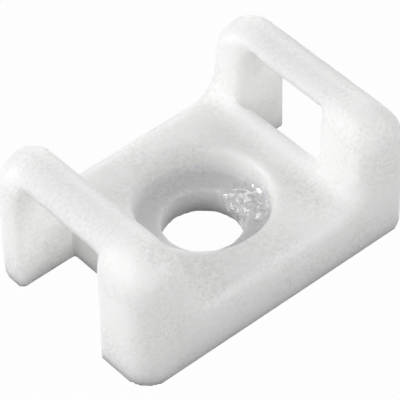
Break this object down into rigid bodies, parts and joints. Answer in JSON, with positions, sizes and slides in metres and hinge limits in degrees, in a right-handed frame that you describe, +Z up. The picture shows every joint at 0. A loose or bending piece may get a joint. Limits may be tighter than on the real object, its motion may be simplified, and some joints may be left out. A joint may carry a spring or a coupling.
{
  "type": "cable tie mount",
  "caption": "Moulded saddle for a cable: raised end walls, a flat cradle, tie slots under cross bars at the ends and a stepped screw hole through the base.",
  "frame": {"origin": "centre of the mounting face on the underside, on the axis of the screw hole", "axes": "+X along the length towards one end wall, the way the tie runs; +Y along the cable; +Z up out of the mounting face"},
  "size_m": [0.015, 0.01, 0.0067],
  "materials": {
    "natural_nylon": "milky white, slightly translucent, satin as moulded"
  },
  "bodies": {
    "root": {"tie_mount": "natural_nylon"}
  },
  "joints": []
}
